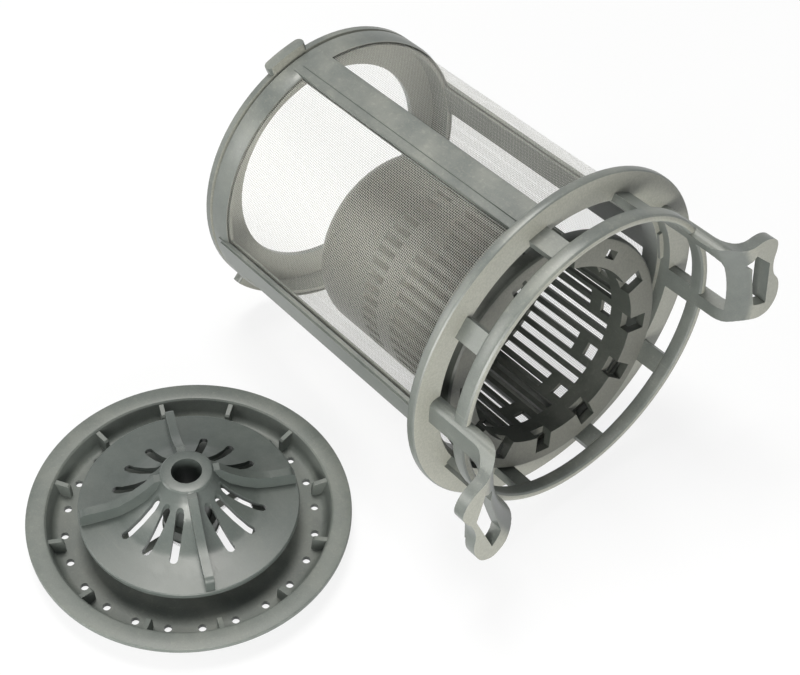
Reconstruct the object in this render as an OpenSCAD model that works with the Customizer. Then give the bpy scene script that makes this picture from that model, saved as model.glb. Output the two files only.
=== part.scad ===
// Dishwasher filter, laid out flat: the filter cartridge on its side with a slotted coarse
// basket loose inside it, and the round base plate taken off and lying beside it.
// Millimetres. The cartridge axis runs along +X, its handle end first, and +Z is up.

/* [Cartridge] */
// radius of the cartridge body at its far end ring
ring_r = 46; // [44:0.5:49]
// length from the far end lip to the back of the flange
body_len = 104.9; // [98:0.5:115]
// height of the far end band along the axis
band_h = 8.2; // [6:0.2:11]
// radius of the open hole in the far end
end_hole_r = 34.5; // [28:0.5:38]
// depth of the turned groove behind the end lip
groove_d = 1; // [0.5:0.1:1.5]
// how far the three bayonet lugs stand out
lug_rise = 2.7; // [1.2:0.1:4]
// angle that one lug covers
lug_arc = 17; // [10:1:26]
// width of each of the four struts
strut_w = 10.8; // [8:0.2:14]
// radial thickness of each strut, mesh slot included
strut_t = 2.5; // [2.3:0.1:3.5]
// width of the raised panel on each strut
panel_w = 7; // [4:0.2:7.6]
// height of the raised panel
panel_h = 0.4; // [0.2:0.1:1]

/* [Mesh sleeve] */
// how far the mesh lies in behind the end ring
mesh_inset = 0.7; // [0.6:0.1:1.2]
// thickness of the mesh wall
mesh_t = 0.8; // [0.6:0.1:0.9]
// width of one gap in the mesh
gap_w = 1.6; // [0.8:0.2:2.4]
// distance from one wire ridge to the next
ridge_pitch = 3.2; // [2.4:0.2:6]

/* [Handle end] */
// how far the flange stands out beyond the end ring
flange_w = 8.2; // [6:0.2:12]
// thickness of the flange
flange_t = 3; // [2:0.2:4]
// angle from the middle of a handle to each of its two legs
leg_turn = 18; // [14:1:22]
// angle from the middle of a handle to the next post on each side
post_turn = 51; // [40:1:60]
// height of the posts
post_h = 8.4; // [5:0.2:10]
// width of one post
post_w = 6.5; // [4:0.2:9]
// height of the front ring
front_h = 4.6; // [4:0.2:9]
// width of the front ring from its inner to its outer side
front_w = 2.8; // [2.6:0.1:4.5]
// length of the two legs of a handle
leg_len = 11.2; // [9:0.1:16]
// thickness of the strap that forms a handle
plate_t = 3.6; // [2.5:0.1:5]
// outer radius of the bend from the legs into the handle plate
bend_r = 9.5; // [6:0.5:12]
// half width of the slot through a handle plate
plate_slot_c = 12; // [8:0.5:12.5]

/* [Coarse basket] */
// how much smaller than the mouth the radius of the basket rim is
rim_play = 6.5; // [5:0.1:8.5]
// width of the basket rim from the wall to its edge
rim_w = 8.1; // [7:0.1:10]
// wall thickness of the basket
basket_t = 1.4; // [1:0.1:2]
// depth of the basket from rim to bottom
basket_len = 80; // [74:1:88]
// depth of the outer edge of the rim
rim_h = 4.5; // [3:0.1:6]
// number of groups of four slots round the wall
group_n = 12; // [12:1:13]
// width of one slot
slot_w = 2.1; // [1.4:0.1:2.4]
// play between the loose basket and what it lies on
rest_gap = 0.15; // [0.05:0.05:0.4]
// side to which the rim lies in the mouth, from straight up
rim_side = 170; // [160:1:190]
// side to which the bottom lies in the sleeve, from straight up
foot_side = 194; // [180:1:200]

/* [Base plate] */
// outer radius of the base plate
base_r = 47.2; // [45:0.2:50]
// height of the rim above the floor
base_h = 8; // [6:0.2:11]
// thickness of the moulded walls
base_t = 1.5; // [1.2:0.1:2]
// width of the flat rim
base_rim_w = 5.2; // [4:0.2:7]
// diameter of the drain holes
drain_d = 2.3; // [1.5:0.1:3.5]
// distance from the foot of the wall in to the circle of drain holes
drain_in = 3.4; // [2.6:0.1:5]
// distance of the plate centre ahead of the cartridge lip
base_x = 62.9; // [40:1:80]
// gap between base plate and flange edge seen from above, less than 0 where they overlap
side_gap = -2.8; // [-4:0.2:20]

/* [Vane plate] */
// outer radius of the vane plate
vane_r = 32; // [30:0.5:33.5]
// height of the hub top above the floor
hub_h = 26; // [24:0.5:30]
// height of the cone's outer edge above the floor
edge_h = 11.5; // [9.5:0.5:13]
// radius of the hub bore
hub_bore_r = 4.4; // [3.4:0.1:4.8]
// wall of the hub round its bore
hub_wall = 3.4; // [2.4:0.1:4.4]
// thickness of a vane
vane_t = 2.6; // [1.2:0.1:3.4]
// height of a vane above the cone
vane_h = 4.4; // [2.5:0.1:6]
// width of the cone slots
cone_slot_w = 2.4; // [1.6:0.1:3]

/* [Hidden] */
$fn = 96;
// angle of the first strut from straight up
strut_a = 11;
// angle of the first lug from straight up
lug_a = 16;
// plane that mirrors one handle into the other, from straight up
mirror_a = 14;
ring_in_r = ring_r - 2.6;
end_lip_h = 2.2;
lug_r = ring_r + lug_rise;
mesh_r = ring_r - mesh_inset;
mouth_r = mesh_r - 0.1;
front_in_r = mouth_r - 0.2;
front_r = front_in_r + front_w;
flange_r = ring_r + flange_w;
rim_r = front_in_r - rim_play;
basket_r = rim_r - rim_w;
mesh_in_r = mesh_r - mesh_t;
mesh_foot_z = band_h - 2.4;
mesh_top_z = body_len - 1.5;
flange_z = body_len;
post_z = flange_z + flange_t;
front_z = post_z + post_h;
leg_z = front_z + front_h;
plate_z = leg_z + leg_len;
top_z = plate_z + plate_t;
strut_in_r = mesh_r - strut_t + 0.8;
strut_flat_x = ring_r + 0.1;

// tilt of the cartridge lying on its lip edge and its flange
lay_tilt = atan((flange_r - ring_r) / flange_z);
lay_z = ring_r * cos(lay_tilt);

// the loose basket lies on the mouth with its rim and on the sleeve with its foot
foot_round = 8;
rim_front_z = body_len + 3.6;
rim_off = front_in_r - rim_r - rest_gap;
foot_off = strut_in_r - basket_r - rest_gap;
rim_c = [rim_off * cos(rim_side), rim_off * sin(rim_side), 0];
foot_c = [foot_off * cos(foot_side), foot_off * sin(foot_side), rim_h + foot_round - basket_len];
basket_v = rim_c - foot_c;
basket_turn = atan2(basket_v[1], basket_v[0]);
basket_lean = atan(norm([basket_v[0], basket_v[1]]) / basket_v[2]);
group_a = 360 / group_n;
slot_step = group_a / 4;
group_phase = -8.5;

// foot of the bowl's wall, circle of its drain holes and the stem that its socket holds
wall_top_r = base_r - base_rim_w;
wall_foot_r = wall_top_r - 1.2;
floor_in_r = wall_foot_r - 0.8;
drain_r = floor_in_r - drain_in;
stem_r = hub_bore_r + 1.6;
socket_gap = 0.2;

// how far a handle plate reaches to the side, and how far its lower corner lies below the axis
plate_out = front_r + 13.6;
plate_drop = front_r - 15.8;

// half of the length and width of the whole layout, so that the origin is its centre
base_y = flange_r + base_r + side_gap;
whole_x = (top_z * cos(lay_tilt) + plate_drop * sin(lay_tilt) - 1 - (lug_r - 0.4) * sin(lay_tilt)) / 2;
whole_y = (plate_out - base_y - base_r) / 2;

// sub-part to show

frame();
mesh_sleeve();
coarse_basket();
base_bowl();
vane_plate();

// smooth closed curve through the points of a ring p, n steps between each two
function curve_at(a, b, c, d, t) =
    0.5 * ((2 * b) + (c - a) * t + (2 * a - 5 * b + 4 * c - d) * t * t
    + (3 * b - a - 3 * c + d) * t * t * t);
function closed_curve(p, n) =
    [for (i = [0 : len(p) - 1]) for (k = [0 : n - 1])
        curve_at(p[(i + len(p) - 1) % len(p)], p[i], p[(i + 1) % len(p)], p[(i + 2) % len(p)], k / n)];

// quarter of a rounded corner: centre, radius and the angle it starts at
function corner(x, y, r, a) = [for (i = [0 : 3]) [x + r * cos(a + 30 * i), y + r * sin(a + 30 * i)]];

// from the upright cartridge to the lying one
module lay_down()
{
    translate([-whole_x, -whole_y, lay_z])
        rotate([0, 90 - lay_tilt, 0])
            rotate([0, 0, 180])
                children();
}

// the whole base plate stands on the floor beside the cartridge
module beside()
{
    translate([base_x - whole_x, -base_y - whole_y, 0])
        children();
}

module tube(outer, inner, low, high)
{
    rotate_extrude()
        polygon([[inner, low], [outer, low], [outer, high], [inner, high]]);
}

// the one-piece plastic frame of the cartridge
module frame()
{
    color([0.42, 0.45, 0.44])
        lay_down()
            difference()
            {
                union()
                {
                    end_ring();
                    lugs();
                    struts();
                    flange_and_collar();
                    posts();
                    front_ring();
                    arms();
                }
                tube(mesh_r, mesh_in_r, mesh_foot_z, mesh_top_z);
            }
}

module end_ring()
{
    ledge = 0.8;
    rotate_extrude()
        polygon([
            [end_hole_r, ledge],
            [ring_r - 2, ledge],
            [ring_r - 2, 0],
            [ring_r - 0.3, 0],
            [ring_r, 0.3],
            [ring_r, end_lip_h],
            [ring_r - groove_d, end_lip_h + 0.3],
            [ring_r - groove_d, end_lip_h + 1],
            [ring_r, end_lip_h + 1.3],
            [ring_r, band_h],
            [mesh_r + 0.2, band_h + 1.3],
            [mesh_r + 0.2, band_h + 2],
            [ring_in_r, band_h + 2],
            [ring_in_r, ledge + 2],
            [end_hole_r, ledge + 2]
        ]);
}

// three bayonet lugs with rounded ends
module lugs()
{
    lug_h = 3.4;
    round_r = lug_h / 2;
    for (k = [0 : 2])
        rotate([0, 0, lug_a + 120 * k])
            translate([0, 0, 0.7])
                intersection()
                {
                    rotate([0, 0, -lug_arc / 2])
                        rotate_extrude(angle = lug_arc)
                            translate([ring_r - 1.6, -round_r])
                                square([lug_r - ring_r + 1.6, lug_h]);
                    union()
                    {
                        translate([ring_r - 4, -lug_half(), -round_r])
                            cube([8, 2 * lug_half(), lug_h]);
                        for (s = [-1, 1])
                            translate([ring_r - 4, s * lug_half(), 0])
                                rotate([0, 90, 0])
                                    cylinder(r = round_r, h = 8);
                    }
                }
}

function lug_half() = lug_r * sin(lug_arc / 2) - 1.7;

// four flat struts, each with a raised panel a little off its middle
module struts()
{
    panel_shift = 0.8;
    for (k = [0 : 3])
        rotate([0, 0, strut_a + 90 * k])
        {
            translate([strut_in_r, -strut_w / 2, band_h - 2])
                cube([strut_flat_x - strut_in_r, strut_w, flange_z - band_h + 2.5]);
            translate([strut_flat_x - 0.3, -panel_w / 2 - panel_shift, band_h - 1])
                cube([panel_h + 0.3, panel_w, flange_z - band_h + 1.5]);
        }
}

module flange_and_collar()
{
    collar_len = 6.4;
    collar_in_r = mesh_in_r - 0.9;
    step_z = flange_z - 0.5;
    edge_round = 0.8;
    rotate_extrude()
        polygon([
            [collar_in_r, flange_z - collar_len],
            [mesh_in_r, flange_z - collar_len],
            [mesh_in_r, mesh_top_z],
            [strut_flat_x, mesh_top_z],
            [strut_flat_x, flange_z],
            each corner(flange_r - edge_round, flange_z + edge_round, edge_round, 270),
            each corner(flange_r - edge_round, post_z - edge_round, edge_round, 0),
            [mouth_r, post_z],
            [mouth_r, step_z],
            [collar_in_r, step_z]
        ]);
}

// five posts on each side of the mirror plane's ends: the handles' legs stand on four of them
module posts()
{
    post_out_x = front_r - 0.5;
    side_turns = [-post_turn, -leg_turn, leg_turn, post_turn];
    for (a = [0, 180, for (side = [90, 270]) for (t = side_turns) side + t])
        rotate([0, 0, mirror_a + a])
            translate([front_in_r, -post_w / 2, post_z - 0.3])
                cube([post_out_x - front_in_r, post_w, post_h + 0.6]);
}

// front ring with a well-rounded section
module front_ring()
{
    back_round = 0.8;
    front_round = 1.3;
    rotate_extrude()
        polygon(concat(
            corner(front_in_r + back_round, front_z + back_round, back_round, 180),
            corner(front_r - back_round, front_z + back_round, back_round, 270),
            corner(front_r - front_round, leg_z - front_round, front_round, 0),
            corner(front_in_r + front_round, leg_z - front_round, front_round, 90)
        ));
}

// two handles, one the mirror image of the other
module arms()
{
    rotate([0, 0, mirror_a])
    {
        rotate([0, 0, 270])
            arm();
        mirror([0, 1, 0])
            rotate([0, 0, 270])
                arm();
    }
}

// strap that rises from the ring on two legs and bends outward into a slotted plate
module arm()
{
    window_z = top_z - 6.2;
    window_round = 4.5;
    leg_side = 11.3;
    rib_h = 1.7;
    foot_z = post_z - 0.3;
    difference()
    {
        intersection()
        {
            rotate([0, 0, -40])
                rotate_extrude(angle = 80)
                    strap_section(foot_z);
            translate([0, 0, foot_z])
                linear_extrude(top_z - foot_z + 1)
                    arm_outline();
        }
        translate([0, 0, plate_z - 3])
            linear_extrude(plate_t + 4)
                arm_slot();
        translate([front_in_r - 10, 0, 0])
            rotate([90, 0, 90])
                linear_extrude(30)
                    polygon(concat(
                        [[-leg_side - 1, foot_z - 1], [leg_side, foot_z - 1]],
                        corner(leg_side - window_round, window_z - window_round, window_round, 0),
                        [[-leg_side - 1, window_z]]
                    ));
    }
    translate([0, 0, plate_z - rib_h])
        linear_extrude(rib_h + 0.5)
            slot_rib();
}

// section of the strap: up from the flange past the ring, then bent outward
module strap_section(foot_z)
{
    bend_x = front_in_r + bend_r;
    bend_z = top_z - bend_r;
    inner = bend_r - plate_t;
    plate_end = front_r + 15;
    polygon(concat(
        [[front_in_r, foot_z]],
        [for (a = [180 : -10 : 90]) [bend_x + bend_r * cos(a), bend_z + bend_r * sin(a)]],
        [[plate_end, top_z], [plate_end, plate_z]],
        [for (a = [90 : 15 : 180]) [bend_x + inner * cos(a), bend_z + inner * sin(a)]],
        [[front_in_r + plate_t, foot_z]]
    ));
}

// handle seen along the axis: S-shaped upper edge, waist and rounded lower lobe
module arm_outline()
{
    lip = front_r;
    polygon(closed_curve([
        [lip - 3.6, 17.9],
        [lip - 1.6, 16.6],
        [lip + 0.7, 15.2],
        [lip + 3.2, 14.6],
        [lip + 6.4, 14.1],
        [lip + 9.3, 12.9],
        [lip + 11.7, 10.6],
        [lip + 12.6, 8.2],
        [lip + 12.1, 5.4],
        [lip + 10.8, 2.2],
        [lip + 10.4, -1.2],
        [lip + 10.7, -4.2],
        [lip + 12.1, -7.6],
        [lip + 12.5, -11.2],
        [lip + 11.6, -15.2],
        [lip + 9.7, -17.6],
        [lip + 7.1, -18.8],
        [lip + 3.7, -18],
        [lip + 0.7, -16.6],
        [lip - 2.6, -15.9],
        [lip - 6.1, -16.3],
        [lip - 9, -14],
        [lip - 10, 0],
        [lip - 9, 15],
        [lip - 6.3, 17.4]
    ], 3));
}

// low rib behind the plate that deepens the outer side of its slot
module slot_rib()
{
    lip = front_r;
    polygon([
        [lip + 6.7, -2 - plate_slot_c],
        [lip + 9.6, -3.4 - plate_slot_c],
        [lip + 11.2, -9.4],
        [lip + 9.9, -4],
        [lip + 9.8, 1.4],
        [lip + 9.1, 2.2]
    ]);
}

// slanted slot, wide below and pointed above, with a small nick in its inner side
module arm_slot()
{
    lip = front_r;
    polygon([
        [lip + 2.4, 0.7 - plate_slot_c],
        [lip + 6.8, -2 - plate_slot_c],
        [lip + 9.1, 2.2],
        [lip + 4.2, plate_slot_c - 2],
        [lip + 3.1, plate_slot_c - 3.4],
        [lip + 0.8, plate_slot_c - 4.7],
        [lip + 2.8, plate_slot_c - 7.2]
    ]);
}

// the woven sleeve: wire ridges round the wall and rows of gaps in the four bays
module mesh_sleeve()
{
    rows = 6;
    columns = 5;
    ridge_h = 0.2;
    ridge_w = ridge_pitch * 0.4;
    wall_r = mesh_r - ridge_h;
    first = band_h + 3;
    last = flange_z - 4;
    count = floor((last - first) / ridge_pitch);
    row_pitch = (last - first) / rows;
    half_strut = asin(strut_w / 2 / mesh_in_r);
    column_step = (90 - 2 * half_strut) / columns;
    ridges = [for (k = [0 : count]) for (s = [0 : 3])
        [s == 0 || s == 3 ? wall_r : mesh_r, first + k * ridge_pitch + (s < 2 ? 0 : ridge_w)]];
    color([0.62, 0.63, 0.62])
        lay_down()
            difference()
            {
                rotate_extrude()
                    polygon(concat(
                        [[mesh_in_r, mesh_foot_z], [wall_r, mesh_foot_z]],
                        ridges,
                        [[wall_r, mesh_top_z], [mesh_in_r, mesh_top_z]]
                    ));
                for (bay = [0 : 3])
                    for (i = [0 : columns - 1])
                        rotate([0, 0, strut_a + 90 * bay + half_strut + column_step * (i + 0.5)])
                            for (j = [0 : rows - 1])
                                translate([mesh_in_r - 2, -gap_w / 2, first + row_pitch * (j + 0.12)])
                                    cube([4, gap_w, row_pitch * 0.76]);
            }
}

// the loose coarse basket, rim forward
module coarse_basket()
{
    color([0.27, 0.29, 0.28])
        lay_down()
            translate([rim_c[0], rim_c[1], rim_front_z - rim_h])
                rotate([0, 0, basket_turn])
                    rotate([0, basket_lean, 0])
                        rotate([0, 0, -basket_turn])
                            translate([0, 0, rim_h])
                                upright_basket();
}

module upright_basket()
{
    long_top = -8.6;
    short_top = -17.2;
    upper_foot = -38.8;
    lower_top = -45.3;
    lower_foot = -52.8;
    difference()
    {
        basket_body();
        for (g = [0 : group_n - 1])
            rotate([0, 0, group_phase + group_a * g])
            {
                notch(g == group_n - 1);
                window();
                for (s = [0 : 3])
                    rotate([0, 0, slot_step * (s - 0.5)])
                    {
                        wall_slot(upper_foot, s < 2 ? short_top : long_top);
                        wall_slot(lower_foot, lower_top);
                    }
            }
    }
}

// rim with a turned-down edge, two thin steps below it and a round-cornered foot
module basket_body()
{
    wall_in = basket_r - basket_t;
    flat_t = 2.6;
    lip_t = 1.6;
    rim_round = 1.5;
    foot_z = -basket_len;
    rotate_extrude()
        polygon(concat(
            [[wall_in, 0]],
            [for (i = [3 : -1 : 0]) corner(rim_r - rim_round, -rim_round, rim_round, 0)[i]],
            [[rim_r, -rim_h], [rim_r - lip_t, -rim_h], [rim_r - lip_t, -flat_t]],
            [[basket_r + 1, -flat_t], [basket_r + 1, -4.2], [basket_r + 0.5, -4.2]],
            [[basket_r + 0.5, -5.8], [basket_r, -5.8]],
            [for (a = [0 : 10 : 90])
                [basket_r - foot_round + foot_round * cos(a), foot_z + foot_round - foot_round * sin(a)]],
            [[0, foot_z], [0, foot_z + basket_t]],
            [for (a = [90 : -10 : 0])
                [basket_r - foot_round + (foot_round - basket_t) * cos(a),
                 foot_z + foot_round - (foot_round - basket_t) * sin(a)]]
        ));
}

// open notch in the rim, or a closed square hole where the last one is
module notch(closed)
{
    notch_w = closed ? 4.2 : 5.2;
    from_r = closed ? basket_r + 1.6 : basket_r - 3;
    to_r = rim_r - 3.8;
    translate([from_r, -notch_w / 2, -3.6])
        cube([to_r - from_r, notch_w, 5]);
}

module window()
{
    window_w = 4.2;
    translate([basket_r - 3, -window_w / 2, -12.6])
        cube([5, window_w, 4.2]);
}

module wall_slot(low, high)
{
    translate([basket_r - 3, -slot_w / 2, low])
        cube([5, slot_w, high - low]);
}

// shallow bowl of the base plate with its flat rim, drain holes and gussets
module base_bowl()
{
    drain_n = 24;
    gusset_n = 12;
    gusset_t = 1.4;
    trough = 2.2;
    brow = 1.2;
    rim_round = 0.4;
    socket_in_r = stem_r + socket_gap;
    color([0.47, 0.5, 0.48])
        beside()
        {
            difference()
            {
                union()
                {
                    rotate_extrude()
                        polygon(concat(
                            [[0, 0], [wall_foot_r, 0], [wall_foot_r + 0.6, 0.6]],
                            [[wall_top_r + 0.3, base_h - base_t], [base_r, base_h - base_t]],
                            corner(base_r - rim_round, base_h - rim_round, rim_round, 0),
                            corner(wall_top_r + 0.4, base_h - brow, brow, 90),
                            [for (a = [0 : -22.5 : -90])
                                [floor_in_r - trough + 0.4 + trough * cos(a), base_t + trough + trough * sin(a)]],
                            [[0, base_t]]
                        ));
                    for (k = [0 : gusset_n - 1])
                        rotate([90, 0, 7.5 + 360 / gusset_n * k])
                            linear_extrude(gusset_t, center = true)
                                polygon([
                                    [drain_r, base_t - 0.5],
                                    [floor_in_r + 0.6, base_t - 0.5],
                                    [wall_top_r, base_h - 1.2],
                                    [wall_top_r - 0.4, base_h - 0.9],
                                    [drain_r + 0.9, base_h - 1.6],
                                    [drain_r + 0.3, base_h - 2.1]
                                ]);
                }
                for (k = [0 : drain_n - 1])
                    rotate([0, 0, 360 / drain_n * k])
                        translate([drain_r, 0, -1])
                            cylinder(d = drain_d, h = base_t + 2);
                translate([0, 0, -1])
                    cylinder(r = hub_bore_r, h = base_t + 2);
            }
            tube(socket_in_r + 1.8, socket_in_r, base_t - 0.2, base_t + 4.5);
        }
}

// cone with a hub, four radial vanes and twelve slots
module vane_plate()
{
    sectors = 16;
    first_vane = -24;
    skin = 1.5;
    hub_round = 1.2;
    end_round = 1.8;
    end_rise = vane_h + 0.5;
    hub_r = hub_bore_r + hub_wall;
    // shares of the way out from the hub and of the way up from the edge
    form = [[0.05, 0.72], [0.17, 0.45], [0.34, 0.24], [0.5, 0.1], [0.67, 0.05]];
    cone = [for (p = form) [hub_r + (vane_r - hub_r) * p[0], edge_h + (hub_h - edge_h) * p[1]]];
    color([0.45, 0.48, 0.46])
        beside()
            difference()
            {
                union()
                {
                    rotate_extrude()
                        polygon(concat(
                            [[hub_bore_r, base_t], [stem_r, base_t], [stem_r, cone[0][1] - skin - 0.6]],
                            [for (p = cone) [p[0] - 0.5, p[1] - skin]],
                            [[vane_r, edge_h - skin], [vane_r, edge_h - 0.3], [vane_r - 0.3, edge_h]],
                            [for (i = [len(cone) - 1 : -1 : 0]) cone[i]],
                            corner(hub_r - hub_round, hub_h - hub_round, hub_round, 0),
                            [[hub_bore_r, hub_h]]
                        ));
                    for (k = [0 : 4 : sectors - 1])
                        rotate([90, 0, first_vane + 360 / sectors * k])
                            linear_extrude(vane_t, center = true)
                                polygon(concat(
                                    [[stem_r + 0.4, cone[0][1] - 0.6], [stem_r + 0.4, hub_h - 0.7]],
                                    [for (p = cone) [p[0] + 0.4, min(p[1] + vane_h, hub_h - 0.7)]],
                                    [for (a = [90 : -22.5 : 0])
                                        [vane_r - 0.6 - end_round + end_round * cos(a),
                                         edge_h + end_rise - end_round + end_round * sin(a)]],
                                    [[vane_r - 0.6, edge_h - 0.6]],
                                    [for (i = [len(cone) - 1 : -1 : 0]) cone[i] - [0.2, 0.6]]
                                ));
                }
                for (k = [0 : sectors - 1])
                    if (k % 4 != 0)
                        rotate([0, 0, first_vane + 360 / sectors * k])
                            cone_slot(hub_r + 2.9, vane_r - 10.7);
            }
}

module cone_slot(from_r, to_r)
{
    translate([from_r, -cone_slot_w / 2, edge_h - 6.5])
        cube([to_r - from_r, cone_slot_w, hub_h]);
    for (x = [from_r, to_r])
        translate([x, 0, edge_h - 6.5])
            cylinder(d = cone_slot_w, h = hub_h, $fn = 32);
}
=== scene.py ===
"""Looks of a dishwasher filter: a lying mesh cartridge with a loose basket, and its base plate.

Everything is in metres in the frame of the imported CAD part: +X along the lying cartridge towards
its handle end, +Y from the base plate towards the cartridge and +Z up.
"""
import logging
import math
from dataclasses import dataclass, field
from enum import Enum

import bpy
import numpy as np
from mathutils import Matrix, Vector


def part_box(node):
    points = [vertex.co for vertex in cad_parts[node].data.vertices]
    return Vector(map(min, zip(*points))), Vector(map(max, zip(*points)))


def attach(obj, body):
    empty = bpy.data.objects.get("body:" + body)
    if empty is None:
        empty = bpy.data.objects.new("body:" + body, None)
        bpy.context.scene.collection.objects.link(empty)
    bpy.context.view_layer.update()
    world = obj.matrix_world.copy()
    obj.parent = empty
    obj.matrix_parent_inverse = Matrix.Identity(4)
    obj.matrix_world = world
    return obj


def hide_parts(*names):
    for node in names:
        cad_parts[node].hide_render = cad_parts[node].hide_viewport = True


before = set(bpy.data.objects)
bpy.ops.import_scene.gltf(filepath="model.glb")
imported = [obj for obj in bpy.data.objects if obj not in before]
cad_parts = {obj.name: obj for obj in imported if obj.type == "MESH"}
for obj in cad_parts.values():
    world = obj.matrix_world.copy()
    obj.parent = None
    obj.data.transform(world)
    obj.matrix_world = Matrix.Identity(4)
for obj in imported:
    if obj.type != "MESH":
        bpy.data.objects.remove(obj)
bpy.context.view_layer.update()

LOG = logging.getLogger("dishwasher_filter")
MM = 0.001
CLOTH_UV = "cloth_mm"

# Corners closer than this, in metres, are one corner of a moulding
SAME_POINT = 0.000002
SHADE_GROUP = "smooth_small_turns"
# Turns between faces below the first shade as one surface, and edges above the second are broken
SMOOTH_BELOW_DEG = 26.0
BREAK_ABOVE_DEG = 38.0

Array = np.ndarray
Colour = tuple[float, float, float]
Point = tuple[float, float, float]


class Node(Enum):
    """Names of the CAD nodes."""

    FRAME = "frame"
    SLEEVE = "mesh_sleeve"
    BASKET = "coarse_basket"
    BOWL = "base_bowl"
    VANES = "vane_plate"


class Slot(Enum):
    """Names of the record's material slots."""

    GREY = "grey_plastic"
    DARK = "dark_plastic"
    MESH = "steel_mesh"


class Effect(Enum):
    """Names of the shader node groups that the materials share."""

    GRAIN = "moulded_grain"
    DUST = "settled_film"
    SCUFF = "handling_scuffs"
    WEAVE = "plain_wire_weave"
    OPENING = "ring_of_openings"
    MATTE = "sparked_front"


class Wiring:
    """Places and links the nodes of one shader tree."""

    spacing: tuple[int, int] = (220, -40)
    rows: int = 5

    def __init__(self, tree: bpy.types.NodeTree) -> None:
        """Keeps the tree.

        Args:
            tree: the shader tree of a material, a world or a node group.
        """
        self.tree = tree
        self.column = 0

    def add(self, kind: str, **settings: object) -> bpy.types.Node:
        """Adds one node, to the right of the last.

        Args:
            kind: the node's Blender type name.
            settings: its properties by name.

        Returns:
            The new node.
        """
        made = self.tree.nodes.new(kind)
        made.location = (self.spacing[0] * self.column,
                         self.spacing[1] * (self.column % self.rows))
        self.column += 1
        for name, value in settings.items():
            setattr(made, name, value)
        return made

    def join(self, source: object, target: bpy.types.NodeSocket) -> None:
        """Links an output to an input, or writes a plain value into the input.

        Args:
            source: an output socket, or a number, colour or vector.
            target: the input socket.
        """
        if isinstance(source, bpy.types.NodeSocket):
            self.tree.links.new(source, target)
        else:
            target.default_value = source

    def calc(self, operation: str, *values: object, clamp: bool = False) -> bpy.types.NodeSocket:
        """One Math node.

        Args:
            operation: its operation, such as MULTIPLY.
            values: its inputs in order.
            clamp: whether the result is kept between 0 and 1.

        Returns:
            The output socket.
        """
        made = self.add("ShaderNodeMath", operation=operation, use_clamp=clamp)
        for value, target in zip(values, made.inputs):
            self.join(value, target)
        return made.outputs[0]

    def noise(self, place: bpy.types.NodeSocket, scale: object, detail: float,
              rough: float = 0.55) -> bpy.types.NodeSocket:
        """One Noise Texture.

        Args:
            place: the coordinates.
            scale: its scale, a number or a socket.
            detail: its detail.
            rough: its roughness.

        Returns:
            The Factor output.
        """
        made = self.add("ShaderNodeTexNoise")
        self.join(place, made.inputs["Vector"])
        self.join(scale, made.inputs["Scale"])
        made.inputs["Detail"].default_value = detail
        made.inputs["Roughness"].default_value = rough
        return made.outputs["Fac"]

    def fit(self, value: object, low: float, high: float, to_low: float = 0.0,
            to_high: float = 1.0, smooth: bool = False) -> bpy.types.NodeSocket:
        """Carries a value from one range to another, clamped.

        Args:
            value: the value.
            low: start of the range it comes from.
            high: end of that range.
            to_low: what the start becomes.
            to_high: what the end becomes.
            smooth: eased ends.

        Returns:
            The Result output.
        """
        made = self.add("ShaderNodeMapRange",
                        interpolation_type="SMOOTHSTEP" if smooth else "LINEAR")
        for source, target in zip((value, low, high, to_low, to_high), made.inputs):
            self.join(source, target)
        return made.outputs[0]

    def blend(self, factor: object, first: object, second: object,
              mode: str = "MIX") -> bpy.types.NodeSocket:
        """Mixes two colours.

        Args:
            factor: share of the second colour.
            first: the first colour, three or four numbers or a socket.
            second: the second colour.
            mode: the blend type.

        Returns:
            The colour output.
        """
        made = self.add("ShaderNodeMix", data_type="RGBA", blend_type=mode)
        # The colour sockets of a Mix node come after those of its other kinds of data
        self.join(factor, made.inputs[0])
        for value, target in ((first, made.inputs[6]), (second, made.inputs[7])):
            plain = isinstance(value, tuple) and len(value) == 3
            self.join((*value, 1.0) if plain else value, target)
        return made.outputs[2]

    def split(self, vector: bpy.types.NodeSocket) -> bpy.types.NodeOutputs:
        """One Separate XYZ node.

        Args:
            vector: the vector.

        Returns:
            Its outputs X, Y and Z.
        """
        made = self.add("ShaderNodeSeparateXYZ")
        self.join(vector, made.inputs[0])
        return made.outputs

    def bump(self, height: bpy.types.NodeSocket, strength: float,
             depth: float) -> bpy.types.NodeSocket:
        """One Bump node.

        Args:
            height: the height, from 0 to 1.
            strength: its strength.
            depth: how high a height of 1 stands, in metres.

        Returns:
            The Normal output.
        """
        made = self.add("ShaderNodeBump")
        made.inputs["Strength"].default_value = strength
        made.inputs["Distance"].default_value = depth
        self.join(height, made.inputs["Height"])
        return made.outputs["Normal"]

    def seen(self) -> bpy.types.NodeSocket:
        """Tells the rays that come from the camera, straight or by way of a shiny or clear surface.

        Returns:
            The output socket, 1 for such a ray and 0 for any other.
        """
        rays = self.add("ShaderNodeLightPath").outputs
        by_way = self.calc("MAXIMUM", rays["Is Glossy Ray"], rays["Is Transmission Ray"])
        return self.calc("MAXIMUM", rays["Is Camera Ray"], by_way)


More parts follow.
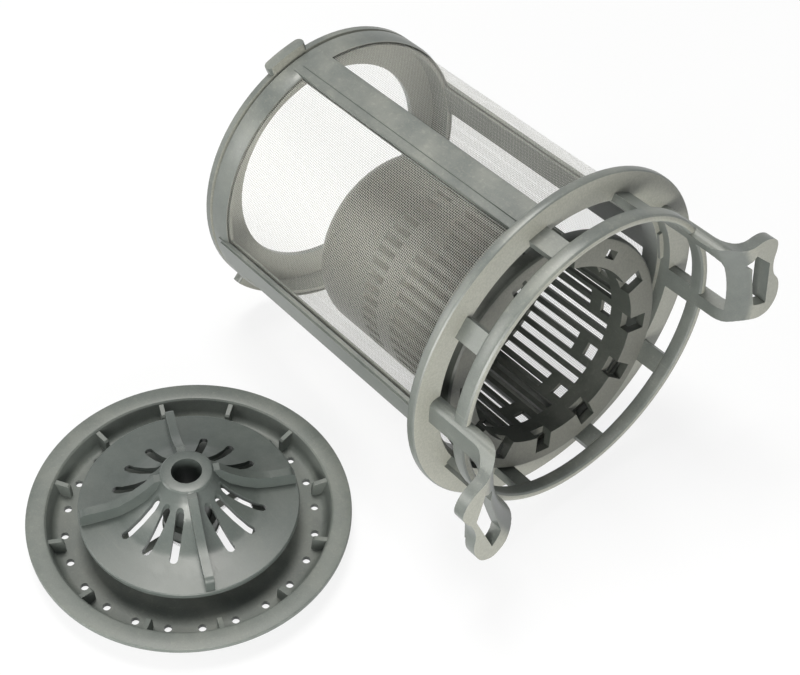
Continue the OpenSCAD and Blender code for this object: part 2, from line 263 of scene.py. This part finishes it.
class EffectKit:
    """Builds each shared node group once and places it in materials."""

    def __init__(self) -> None:
        """Starts with no group."""
        self.made: dict[Effect, bpy.types.NodeTree] = {}

    def place(self, net: Wiring, effect: Effect, **values: object) -> bpy.types.Node:
        """Puts a group into a material.

        Args:
            net: the material's wiring.
            effect: which group.
            values: its inputs by name, with underscores for spaces.

        Returns:
            The group node.
        """
        if effect not in self.made:
            # The method that makes a group has the effect's name
            self.made[effect] = getattr(self, effect.name.lower())()
        node = net.add("ShaderNodeGroup", node_tree=self.made[effect])
        for name, value in values.items():
            net.join(value, node.inputs[name.replace("_", " ")])
        return node

    @staticmethod
    def start(effect: Effect, inputs: dict[str, float | None],
              outputs: tuple[str, ...]) -> tuple[Wiring, bpy.types.Node, bpy.types.Node]:
        """An empty group with its sockets.

        Args:
            effect: which group.
            inputs: default by name, where None stands for a vector.
            outputs: names of the value outputs.

        Returns:
            The group's wiring, its input node and its output node.
        """
        tree = bpy.data.node_groups.new(effect.value, "ShaderNodeTree")
        for name, default in inputs.items():
            kind = "NodeSocketVector" if default is None else "NodeSocketFloat"
            socket = tree.interface.new_socket(name, in_out="INPUT", socket_type=kind)
            if default is not None:
                socket.default_value = default
        for name in outputs:
            tree.interface.new_socket(name, in_out="OUTPUT", socket_type="NodeSocketFloat")
        net = Wiring(tree)
        return net, net.add("NodeGroupInput"), net.add("NodeGroupOutput")

    def grain(self) -> bpy.types.NodeTree:
        """Fine spark-eroded grain and the slow cloudiness of a moulded wall.

        Returns:
            The group, with Tone about 0.5 and Height from 0 to 1.
        """
        net, start, end = self.start(
            Effect.GRAIN, {"Place": None, "Grain Scale": 2600.0, "Cloud Scale": 38.0},
            ("Tone", "Height"))
        place, cloud_scale = start.outputs["Place"], start.outputs["Cloud Scale"]
        fine = net.noise(place, start.outputs["Grain Scale"], 2.0, 0.6)
        middle = net.noise(place, net.calc("MULTIPLY", cloud_scale, 9.0), 3.0)
        cloud = net.noise(place, cloud_scale, 4.0, 0.5)
        slow = net.calc("ADD", net.calc("MULTIPLY", cloud, 0.4), net.calc("MULTIPLY", middle, 0.25))
        tone = net.calc("ADD", slow, net.calc("MULTIPLY", fine, 0.35))
        height = net.calc("ADD", net.calc("MULTIPLY", fine, 0.75), net.calc("MULTIPLY", middle, 0.25))
        net.join(tone, end.inputs["Tone"])
        net.join(height, end.inputs["Height"])
        return net.tree

    def dust(self) -> bpy.types.NodeTree:
        """A thin dried film that settles on faces turned up and in broken patches.

        Returns:
            The group, with Mask from 0 to 1.
        """
        net, start, end = self.start(
            Effect.DUST, {"Place": None, "Normal": None, "Amount": 0.4}, ("Mask",))
        place = start.outputs["Place"]
        up = net.fit(net.split(start.outputs["Normal"])["Z"], 0.1, 0.95, smooth=True)
        patches = net.fit(net.noise(place, 75.0, 5.0), 0.38, 0.72, smooth=True)
        specks = net.fit(net.noise(place, 900.0, 2.0), 0.56, 0.72)
        covered = net.calc("ADD", net.calc("MULTIPLY", patches, 0.7),
                           net.calc("MULTIPLY", specks, 0.5))
        mask = net.calc("MULTIPLY", net.calc("MULTIPLY", up, covered), start.outputs["Amount"],
                        clamp=True)
        net.join(mask, end.inputs["Mask"])
        return net.tree

    def scuff(self) -> bpy.types.NodeTree:
        """Short rubbed lines that run mostly one way.

        Returns:
            The group, with Mask from 0 to 1.
        """
        net, start, end = self.start(
            Effect.SCUFF, {"Place": None, "Stretch": 14.0, "Amount": 0.5}, ("Mask",))
        place, stretch = start.outputs["Place"], start.outputs["Stretch"]
        apart = net.split(place)
        lines = net.add("ShaderNodeCombineXYZ")
        net.join(apart["X"], lines.inputs["X"])
        for side in ("Y", "Z"):
            net.join(net.calc("MULTIPLY", apart[side], stretch), lines.inputs[side])
        rubbed = net.fit(net.noise(lines.outputs[0], 110.0, 3.0, 0.65), 0.58, 0.72, smooth=True)
        where = net.fit(net.noise(place, 45.0, 2.0), 0.45, 0.62, smooth=True)
        mask = net.calc("MULTIPLY", net.calc("MULTIPLY", rubbed, where), start.outputs["Amount"],
                        clamp=True)
        net.join(mask, end.inputs["Mask"])
        return net.tree

    def matte(self) -> bpy.types.NodeTree:
        """Painted light, partly a real texture: faces turned along Front are made paler, as if lit by
        the bright floor in front of them, broken by coarse sparked pits.

        Returns:
            The group, with Mask from 0 to 1.
        """
        net, start, end = self.start(
            Effect.MATTE, {"Place": None, "Normal": None, "Front": None, "Amount": 0.6},
            ("Mask",))
        turned = net.add("ShaderNodeVectorMath", operation="DOT_PRODUCT")
        net.join(start.outputs["Normal"], turned.inputs[0])
        net.join(start.outputs["Front"], turned.inputs[1])
        flat = net.fit(turned.outputs["Value"], 0.86, 0.985, smooth=True)
        pits = net.noise(start.outputs["Place"], 1500.0, 3.0, 0.7)
        rough = net.fit(pits, 0.4, 0.62, 0.72, 1.0)
        mask = net.calc("MULTIPLY", net.calc("MULTIPLY", flat, rough), start.outputs["Amount"],
                        clamp=True)
        net.join(mask, end.inputs["Mask"])
        return net.tree

    def weave(self) -> bpy.types.NodeTree:
        """Plain weave of round wires, read from the cloth's own two lengths in pitches.

        A wire runs wherever the distance to the nearest whole pitch is under half its width. Each
        wire rises as a half round, and it is lifted or sunk by the cosine of the other length, with
        the sign turned from one wire to the next, so that every crossing has one wire on top.

        Returns:
            The group, with Cover, Height and Cross, each from 0 to 1.
        """
        net, start, end = self.start(
            Effect.WEAVE, {"Along": 0.0, "Across": 0.0, "Wire": 0.5},
            ("Cover", "Height", "Cross"))
        wire = start.outputs["Wire"]
        heights, covers = [], []
        for mine, other in (("Along", "Across"), ("Across", "Along")):
            here, there = start.outputs[mine], start.outputs[other]
            away = net.calc("ABSOLUTE", net.calc("SUBTRACT", net.calc("FRACT", here), 0.5))
            inside = net.calc("DIVIDE", net.calc("MULTIPLY", away, 2.0), wire)
            cover = net.calc("LESS_THAN", inside, 1.0)
            square = net.calc("MULTIPLY", inside, inside)
            half_round = net.calc("SQRT", net.calc("SUBTRACT", 1.0, square, clamp=True))
            turn = net.calc("MULTIPLY", net.calc("ADD", there, net.calc("FLOOR", here)), math.pi)
            lift = net.calc("COSINE", turn if mine == "Along" else net.calc("ADD", turn, math.pi))
            lifted = net.calc("ADD", net.calc("MULTIPLY", half_round, 0.55),
                              net.calc("MULTIPLY", lift, 0.22))
            heights.append(net.calc("MULTIPLY", cover, net.calc("ADD", lifted, 0.23)))
            covers.append(cover)
        net.join(net.calc("MAXIMUM", *covers), end.inputs["Cover"])
        net.join(net.calc("MAXIMUM", *heights), end.inputs["Height"])
        net.join(net.calc("MULTIPLY", *covers), end.inputs["Cross"])
        return net.tree

    def opening(self) -> bpy.types.NodeTree:
        """Four openings in a floor, in a ring crossed by two webs.

        A point is open where it is low, its distance from the middle lies between the two radii,
        and it is further than half a web from both lines through the middle.

        Returns:
            The group, with Cover, 1 where the floor is whole and 0 in an opening.
        """
        net, start, end = self.start(
            Effect.OPENING, {"Place": None, "Middle": None, "From": 0.01, "To": 0.02,
                             "Web": 0.003, "Top": 0.002},
            ("Cover",))
        away = net.add("ShaderNodeVectorMath", operation="SUBTRACT")
        net.join(start.outputs["Place"], away.inputs[0])
        net.join(start.outputs["Middle"], away.inputs[1])
        apart = net.split(away.outputs[0])
        x, y = (net.calc("ABSOLUTE", apart[side]) for side in ("X", "Y"))
        squares = net.calc("ADD", net.calc("MULTIPLY", x, x), net.calc("MULTIPLY", y, y))
        radius = net.calc("SQRT", squares)
        ring = net.calc("MULTIPLY", net.calc("GREATER_THAN", radius, start.outputs["From"]),
                        net.calc("LESS_THAN", radius, start.outputs["To"]))
        half_web = net.calc("MULTIPLY", start.outputs["Web"], 0.5)
        between = net.calc("GREATER_THAN", net.calc("MINIMUM", x, y), half_web)
        low = net.calc("LESS_THAN", apart["Z"], start.outputs["Top"])
        gap = net.calc("MULTIPLY", net.calc("MULTIPLY", ring, between), low)
        net.join(net.calc("SUBTRACT", 1.0, gap), end.inputs["Cover"])
        return net.tree


KIT = EffectKit()


def new_material(name: str) -> tuple[bpy.types.Material, Wiring, bpy.types.Node]:
    """A material with a Principled shader on its output.

    Args:
        name: the material's name.

    Returns:
        The material, its wiring and its Principled node.
    """
    material = bpy.data.materials.new(name)
    material.use_nodes = True
    material.node_tree.nodes.clear()
    net = Wiring(material.node_tree)
    shader = net.add("ShaderNodeBsdfPrincipled")
    end = net.add("ShaderNodeOutputMaterial")
    net.join(shader.outputs["BSDF"], end.inputs["Surface"])
    return material, net, shader


@dataclass(frozen=True)
class FloorOpenings:
    """Four openings in a ring round the middle of a moulded floor, in metres."""

    middle: Point
    near_r: float = 0.0084
    far_r: float = 0.0185
    web: float = 0.0026
    top: float = 0.00155


@dataclass(frozen=True)
class PlasticFinish:
    """Satin moulded plastic with grain, cloudy tone, a dried film and light scuffs.

    The tone drifts between deep and colour. The film's colour shows in the film, in the scuffs and, as
    painted light, on the faces that look along front, as if the bright floor lit them. The height of
    the grain is in metres.
    """

    name: str
    colour: Colour
    deep: Colour
    # the film colour also serves as the painted pale light on faces that look along front
    film: Colour
    rough: float = 0.4
    gloss: float = 0.5
    film_amount: float = 0.3
    scuff_amount: float = 0.3
    grain_height: float = 0.00004
    bump: float = 0.35
    ior: float = 1.48
    front_paint_amount: float = 0.0
    front: Point = (0.997, 0.0, 0.078)
    openings: FloorOpenings | None = None

    def build(self) -> bpy.types.Material:
        """Makes the material.

        Returns:
            The finished material.
        """
        material, net, shader = new_material(self.name)
        place = net.add("ShaderNodeTexCoord").outputs["Object"]
        facing = net.add("ShaderNodeNewGeometry").outputs["Normal"]
        grain = KIT.place(net, Effect.GRAIN, Place=place)
        film = KIT.place(net, Effect.DUST, Place=place, Normal=facing, Amount=self.film_amount)
        scuffs = KIT.place(net, Effect.SCUFF, Place=place, Amount=self.scuff_amount)
        tone = net.fit(grain.outputs["Tone"], 0.36, 0.62)
        colour = net.blend(tone, self.deep, self.colour)
        colour = net.blend(net.calc("MULTIPLY", scuffs.outputs["Mask"], 0.5), colour, self.film)
        colour = net.blend(film.outputs["Mask"], colour, self.film)
        duller = net.calc("ADD", net.calc("MULTIPLY", film.outputs["Mask"], 0.25),
                         net.calc("MULTIPLY", scuffs.outputs["Mask"], 0.18))
        # painted light: faces that look along front take the film colour, a painted pale bounce from
        # the floor in front, and a little more roughness
        if self.front_paint_amount:
            matte = KIT.place(net, Effect.MATTE, Place=place, Normal=facing, Front=self.front,
                              Amount=self.front_paint_amount).outputs["Mask"]
            colour = net.blend(matte, colour, self.film)
            duller = net.calc("ADD", duller, net.calc("MULTIPLY", matte, 0.2))
        net.join(colour, shader.inputs["Base Color"])
        rough = net.calc("ADD", duller, net.fit(tone, 0.0, 1.0, self.rough - 0.04, self.rough + 0.06))
        net.join(rough, shader.inputs["Roughness"])
        shader.inputs["IOR"].default_value = self.ior
        shader.inputs["Specular IOR Level"].default_value = self.gloss
        relief = net.bump(grain.outputs["Height"], self.bump, self.grain_height)
        net.join(relief, shader.inputs["Normal"])
        if self.openings:
            ring = self.openings
            floor = KIT.place(net, Effect.OPENING, Place=place, Middle=ring.middle, From=ring.near_r,
                              To=ring.far_r, Web=ring.web, Top=ring.top)
            net.join(floor.outputs["Cover"], shader.inputs["Alpha"])
        return material


@dataclass(frozen=True)
class WireClothFinish:
    """Woven stainless wire that shows what is behind it between its wires.

    A wire is as wide as its share of the pitch. The lines of the weave wander by a share of a pitch,
    and the height of a wire is in metres. The colour runs from shade, a painted shade where a wire is
    low at its sides and under a crossing, to wire where it stands high.
    """

    name: str
    wire: Colour
    shade: Colour
    pitch_mm: float = 0.62
    wire_share: float = 0.15
    wander: float = 0.5
    metal: float = 0.7
    bump: float = 0.8
    wire_height: float = 0.00018

    def build(self) -> bpy.types.Material:
        """Makes the material. The cloth's UV map holds its two lengths in millimetres.

        Returns:
            The finished material.
        """
        material, net, shader = new_material(self.name)
        lengths = net.split(net.add("ShaderNodeUVMap", uv_map=CLOTH_UV).outputs["UV"])
        place = net.add("ShaderNodeTexCoord").outputs["Object"]
        drift = net.calc("SUBTRACT", net.noise(place, 30.0, 2.0), 0.5)
        wander = net.calc("MULTIPLY", drift, self.wander)
        along = net.calc("ADD", net.calc("DIVIDE", lengths["X"], self.pitch_mm), wander)
        across = net.calc("SUBTRACT", net.calc("DIVIDE", lengths["Y"], self.pitch_mm), wander)
        cloth = KIT.place(net, Effect.WEAVE, Along=along, Across=across, Wire=self.wire_share)
        # painted shade: a wire is darker where it is low, at its round sides and where it dips under a
        # crossing
        colour = net.blend(cloth.outputs["Height"], self.shade, self.wire)
        net.join(colour, shader.inputs["Base Color"])
        net.join(cloth.outputs["Cover"], shader.inputs["Alpha"])
        shader.inputs["Metallic"].default_value = self.metal
        net.join(net.fit(cloth.outputs["Cross"], 0.0, 1.0, 0.34, 0.42), shader.inputs["Roughness"])
        relief = net.bump(cloth.outputs["Height"], self.bump, self.wire_height)
        net.join(relief, shader.inputs["Normal"])
        return material


def grid_faces(rows: int, columns: int, closed: bool = False) -> Array:
    """Four-cornered faces of a grid of points.

    Args:
        rows: points along the first parameter.
        columns: points along the second.
        closed: whether one more column of faces leads from the last points back to the first.

    Returns:
        Corner numbers, one face a line.
    """
    index = np.arange(rows * columns).reshape(rows, columns)
    if closed:
        index = np.hstack([index, index[:, :1]])
    corners = (index[:-1, :-1], index[1:, :-1], index[1:, 1:], index[:-1, 1:])
    return np.stack([c.ravel() for c in corners], axis=1)


def mesh_from_grid(name: str, points: Array, uv: Array) -> bpy.types.Object:
    """Puts a grid of points into a mesh object with a UV map.

    Args:
        name: the object's name.
        points: rows by columns by 3, in metres.
        uv: rows by columns by 2, in millimetres of cloth. With one column more than the points
            have, the grid closes into a tube.

    Returns:
        The linked object, smooth shaded.
    """
    rows, columns = points.shape[:2]
    faces = grid_faces(rows, columns, closed=uv.shape[1] > columns)
    corners = grid_faces(*uv.shape[:2])
    mesh = bpy.data.meshes.new(name)
    mesh.vertices.add(rows * columns)
    mesh.vertices.foreach_set("co", points.astype(np.float32).ravel())
    mesh.loops.add(faces.size)
    mesh.loops.foreach_set("vertex_index", faces.ravel().astype(np.int32))
    mesh.polygons.add(len(faces))
    mesh.polygons.foreach_set("loop_start", np.arange(0, faces.size, 4, dtype=np.int32))
    mesh.update(calc_edges=True)
    layer = mesh.uv_layers.new(name=CLOTH_UV)
    layer.data.foreach_set("uv", uv.reshape(-1, 2)[corners.ravel()].astype(np.float32).ravel())
    mesh.polygons.foreach_set("use_smooth", np.ones(len(faces), dtype=bool))
    mesh.validate()
    made = bpy.data.objects.new(name, mesh)
    bpy.context.scene.collection.objects.link(made)
    return made


def cad(node: Node) -> bpy.types.Object:
    """The imported object of a CAD node."""
    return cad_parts[node.value]


def underside_middle(node: Node) -> Point:
    """Middle of a CAD node's underside.

    Args:
        node: the CAD node.

    Returns:
        The point, in metres.
    """
    low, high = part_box(node.value)
    return ((low.x + high.x) / 2, (low.y + high.y) / 2, low.z)


def shade_group() -> bpy.types.NodeTree:
    """Geometry nodes that shade small turns between faces as one smooth surface.

    Returns:
        The node group, made once.
    """
    if SHADE_GROUP in bpy.data.node_groups:
        return bpy.data.node_groups[SHADE_GROUP]
    tree = bpy.data.node_groups.new(SHADE_GROUP, "GeometryNodeTree")
    for way in ("INPUT", "OUTPUT"):
        tree.interface.new_socket("Geometry", in_out=way, socket_type="NodeSocketGeometry")
    net = Wiring(tree)
    start, end = net.add("NodeGroupInput"), net.add("NodeGroupOutput")
    plain = net.add("GeometryNodeRemoveAttribute")
    plain.inputs["Name"].default_value = "custom_normal"
    turn = net.add("GeometryNodeInputMeshEdgeAngle")
    small = net.add("FunctionNodeCompare", operation="LESS_THAN", data_type="FLOAT")
    small.inputs[1].default_value = math.radians(SMOOTH_BELOW_DEG)
    faces = net.add("GeometryNodeSetShadeSmooth", domain="FACE")
    edges = net.add("GeometryNodeSetShadeSmooth", domain="EDGE")
    net.join(start.outputs[0], plain.inputs["Geometry"])
    net.join(plain.outputs["Geometry"], faces.inputs["Geometry"])
    net.join(faces.outputs["Geometry"], edges.inputs["Geometry"])
    net.join(turn.outputs["Unsigned Angle"], small.inputs[0])
    net.join(small.outputs[0], edges.inputs["Shade Smooth"])
    net.join(edges.outputs["Geometry"], end.inputs[0])
    return tree


def soften(piece: bpy.types.Object, width_mm: float) -> None:
    """Breaks the sharp edges of a moulding with a small round.

    Args:
        piece: the CAD node's object, whose mesh stays as it is under the modifiers.
        width_mm: width of the round.
    """
    piece.modifiers.new("joined_corners", "WELD").merge_threshold = SAME_POINT
    piece.modifiers.new("soft_facets", "NODES").node_group = shade_group()
    edge = piece.modifiers.new("broken_edges", "BEVEL")
    edge.width = width_mm * MM
    edge.segments = 2
    edge.limit_method = "ANGLE"
    edge.angle_limit = math.radians(BREAK_ABOVE_DEG)
    edge.harden_normals = True


def dress(piece: bpy.types.Object, material: bpy.types.Material, slot: Slot) -> None:
    """Gives a piece its one material and logs the record's slot that it stands for.

    Args:
        piece: the object.
        material: its material.
        slot: the record's material slot.
    """
    piece.data.materials.clear()
    piece.data.materials.append(material)
    LOG.info("%s: %s in slot %s, %d faces", piece.name, material.name, slot.value,
             len(piece.data.polygons))


@dataclass
class Lying:
    """How the cartridge lies: its sizes and the way from its own frame to the shared one.

    The shift leads along X and Y from the axis at the far lip to the middle of the whole layout, in
    millimetres as all sizes here.
    """

    ring_r: float = 46.0
    flange_r: float = 54.2
    body_len: float = 104.9
    shift: tuple[float, float] = (66.5085, -42.2)
    tilt: float = field(init=False)

    def __post_init__(self) -> None:
        """Works out the tilt of a body that lies on its lip and its flange."""
        self.tilt = math.atan((self.flange_r - self.ring_r) / self.body_len)

    def carry(self, up: Array, near: Array, along: Array) -> Array:
        """Points of the cartridge's own frame, in millimetres, in the shared frame, in metres.

        The tilt turns the up and along lengths in one upright plane, and the near length is
        turned over to run along -Y.

        Args:
            up: lengths straight up from the axis.
            near: lengths from the axis towards the base plate.
            along: lengths from the far lip along the axis.

        Returns:
            An array with one more axis, of x, y and z.
        """
        cosine, sine = math.cos(self.tilt), math.sin(self.tilt)
        x = along * cosine - up * sine - self.shift[0]
        y = -near - self.shift[1]
        z = up * cosine + along * sine + self.ring_r * cosine
        return np.stack([x, y, z], axis=-1) * MM


@dataclass
class Cartridge:
    """The moulded frame and the wire cloth that it holds."""

    lying: Lying
    finish: PlasticFinish
    cloth: WireClothFinish
    edge_mm: float = 0.45
    cloth_r: float = 45.05
    cloth_from: float = 5.8
    cloth_to: float = 103.4
    first_strut_deg: float = 11.0
    turn: int = 288
    rows: int = 48
    sag: float = 0.18
    fold: float = 0.16

    def build(self) -> None:
        """Dresses the frame and puts the cloth in the place of the plain sleeve."""
        dress(cad(Node.FRAME), self.finish.build(), Slot.GREY)
        soften(cad(Node.FRAME), self.edge_mm)
        sleeve = self.wire_sleeve()
        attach(sleeve, "root")
        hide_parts(Node.SLEEVE.value)
        dress(sleeve, self.cloth.build(), Slot.MESH)

    def wire_sleeve(self) -> bpy.types.Object:
        """The cloth as a round tube that sinks a little in the middle of each bay.

        The radius is the cloth's own, less the sag times the square of the sine of twice the angle
        from the first strut times the sine of the way along. Long low folds are taken from the sag:
        the product of two slanted waves, seven and three of them to a turn. The UV map holds the
        arc length round the tube and the length along it, in millimetres. It has one column more
        than the points, so that the tube is closed under the first strut.

        Returns:
            The sleeve's object.
        """
        first = self.first_strut_deg
        angle = np.radians(np.linspace(first, first + 360.0, self.turn + 1))[None, :]
        along = np.linspace(self.cloth_from, self.cloth_to, self.rows)[:, None]
        share = (along - self.cloth_from) / (self.cloth_to - self.cloth_from)
        bay = np.sin(2 * (angle - math.radians(first))) ** 2
        folds = self.fold * np.sin(7 * angle + 6 * share) * np.cos(3 * angle - 5 * share)
        radius = self.cloth_r - (self.sag - folds) * bay * np.sin(math.pi * share)
        up, near = radius * np.cos(angle), radius * np.sin(angle)
        points = self.lying.carry(up, near, np.broadcast_to(along, up.shape))
        arc = np.broadcast_to(angle * self.cloth_r, up.shape)
        uv = np.stack([arc, np.broadcast_to(along, up.shape)], axis=-1)
        return mesh_from_grid("wire_sleeve", points[:, :-1], uv)


@dataclass
class Basket:
    """The loose coarse basket."""

    finish: PlasticFinish
    edge_mm: float = 0.25

    def build(self) -> None:
        """Dresses the basket."""
        dress(cad(Node.BASKET), self.finish.build(), Slot.DARK)
        soften(cad(Node.BASKET), self.edge_mm)


@dataclass
class BasePlate:
    """The round base plate that lies beside the cartridge."""

    bowl: PlasticFinish
    vanes: PlasticFinish
    bowl_edge_mm: float = 0.3
    vane_edge_mm: float = 0.35

    def build(self) -> None:
        """Dresses the bowl and the vane plate."""
        dress(cad(Node.BOWL), self.bowl.build(), Slot.GREY)
        dress(cad(Node.VANES), self.vanes.build(), Slot.GREY)
        soften(cad(Node.BOWL), self.bowl_edge_mm)
        soften(cad(Node.VANES), self.vane_edge_mm)


@dataclass(frozen=True)
class SoftLamp:
    """A square soft light, with its place and side in metres and its power in watts."""

    name: str
    place: Point
    side: float
    power: float
    colour: Colour = (1.0, 0.98, 0.93)

    def hang(self, target: Point) -> None:
        """Puts the lamp in the scene, turned to a point.

        Args:
            target: the point, in metres.
        """
        data = bpy.data.lights.new(self.name, "AREA")
        data.size = self.side
        data.energy = self.power
        data.color = self.colour
        lamp = bpy.data.objects.new(self.name, data)
        lamp.location = self.place
        way = Vector(target) - Vector(self.place)
        lamp.rotation_euler = way.to_track_quat("-Z", "Y").to_euler()
        bpy.context.scene.collection.objects.link(lamp)
        LOG.info("lamp %s: %.1f W", self.name, self.power)


@dataclass
class Studio:
    """Floor, soft lights, pale background and the photo's camera.

    The camera has its place in metres and three directions of length 1, and its lens and sensor
    are in millimetres.
    """

    centre: Point = (0.0, 0.0, 0.05)
    floor_half: float = 3.0
    floor_colour: Colour = (0.84, 0.855, 0.88)
    floor_glow: float = 0.82
    sky_colour: Colour = (0.98, 1.0, 1.0)
    sky_light: float = 0.22
    sky_seen: float = 1.0
    lamps: tuple[SoftLamp, ...] = (
        SoftLamp("top", (-0.22, 0.04, 0.95), 0.38, 7.5),
        SoftLamp("front", (0.42, -0.40, 0.13), 0.3, 4.6),
        SoftLamp("side", (-0.35, -0.70, 0.40), 0.4, 3.0),
    )
    eye: Point = (0.235181, -0.19769, 0.39061)
    right: Point = (0.64063, 0.76663, 0.04320)
    down: Point = (0.59012, -0.45558, -0.66649)
    forward: Point = (-0.49127, 0.45246, -0.74427)
    lens: float = 72.0
    sensor: float = 36.0
    clip: tuple[float, float] = (0.01, 20.0)

    def build(self) -> None:
        """Sets up everything that isn't the object."""
        bpy.context.scene.view_settings.view_transform = "Standard"
        self.floor()
        self.world()
        for lamp in self.lamps:
            lamp.hang(self.centre)
        self.camera()

    def floor(self) -> None:
        """A plain pale floor that a camera ray sees as the background."""
        sides = np.array([-self.floor_half, self.floor_half])
        x, y = np.meshgrid(sides, sides, indexing="ij")
        points = np.stack([x, y, np.zeros_like(x)], axis=-1)
        floor = mesh_from_grid("floor", points, points[..., :2])
        material, net, shader = new_material("pale_floor")
        shader.inputs["Base Color"].default_value = (*self.floor_colour, 1.0)
        shader.inputs["Roughness"].default_value = 0.9
        shader.inputs["Specular IOR Level"].default_value = 0.1
        glow = net.add("ShaderNodeEmission")
        glow.inputs["Color"].default_value = (1.0, 1.0, 1.0, 1.0)
        both = net.add("ShaderNodeMixShader")
        net.join(net.calc("MULTIPLY", net.seen(), self.floor_glow), both.inputs[0])
        net.join(shader.outputs["BSDF"], both.inputs[1])
        net.join(glow.outputs["Emission"], both.inputs[2])
        net.join(both.outputs[0], net.tree.get_output_node("ALL").inputs["Surface"])
        floor.data.materials.append(material)

    def world(self) -> None:
        """An even world, white where the camera or a reflection sees it."""
        world = bpy.data.worlds.new("studio")
        bpy.context.scene.world = world
        world.use_nodes = True
        world.node_tree.nodes.clear()
        net = Wiring(world.node_tree)
        back = net.add("ShaderNodeBackground")
        back.inputs["Color"].default_value = (*self.sky_colour, 1.0)
        net.join(net.fit(net.seen(), 0.0, 1.0, self.sky_light, self.sky_seen), back.inputs["Strength"])
        end = net.add("ShaderNodeOutputWorld")
        net.join(back.outputs[0], end.inputs[0])

    def camera(self) -> None:
        """The camera that was fitted to the photo's circles."""
        data = bpy.data.cameras.new("photo_camera")
        data.lens = self.lens
        data.sensor_width = self.sensor
        data.clip_start, data.clip_end = self.clip
        camera = bpy.data.objects.new("photo_camera", data)
        up, back = -Vector(self.down), -Vector(self.forward)
        turn = Matrix((Vector(self.right), up, back)).transposed().to_4x4()
        camera.matrix_world = Matrix.Translation(Vector(self.eye)) @ turn
        bpy.context.scene.collection.objects.link(camera)
        bpy.context.scene.camera = camera


def main() -> None:
    """Builds and dresses the sub-assemblies in order."""
    logging.basicConfig(level=logging.INFO, format="%(name)s: %(message)s")
    grey = PlasticFinish(
        "frame_grey", colour=(0.124, 0.137, 0.127), deep=(0.086, 0.097, 0.091),
        film=(0.33, 0.33, 0.286), rough=0.36, gloss=0.66, front_paint_amount=0.75)
    dark = PlasticFinish(
        "basket_grey", colour=(0.056, 0.062, 0.055), deep=(0.036, 0.041, 0.036),
        film=(0.2, 0.2, 0.178), gloss=0.34, film_amount=0.2, front_paint_amount=0.6)
    plate = PlasticFinish(
        "plate_grey", colour=(0.126, 0.141, 0.131), deep=(0.09, 0.102, 0.095),
        film=(0.26, 0.26, 0.23), gloss=0.4, film_amount=0.25,
        openings=FloorOpenings(underside_middle(Node.BOWL)))
    cone = PlasticFinish(
        "vane_grey", colour=(0.078, 0.091, 0.086), deep=(0.058, 0.069, 0.065),
        film=(0.17, 0.175, 0.155), rough=0.32, film_amount=0.12)
    cloth = WireClothFinish("woven_steel", wire=(0.6, 0.6, 0.55), shade=(0.26, 0.26, 0.235))
    lying = Lying()
    for part in (Cartridge(lying, grey, cloth), Basket(dark), BasePlate(plate, cone), Studio()):
        LOG.info("building %s", type(part).__name__)
        part.build()


if __name__ == "__main__":
    main()
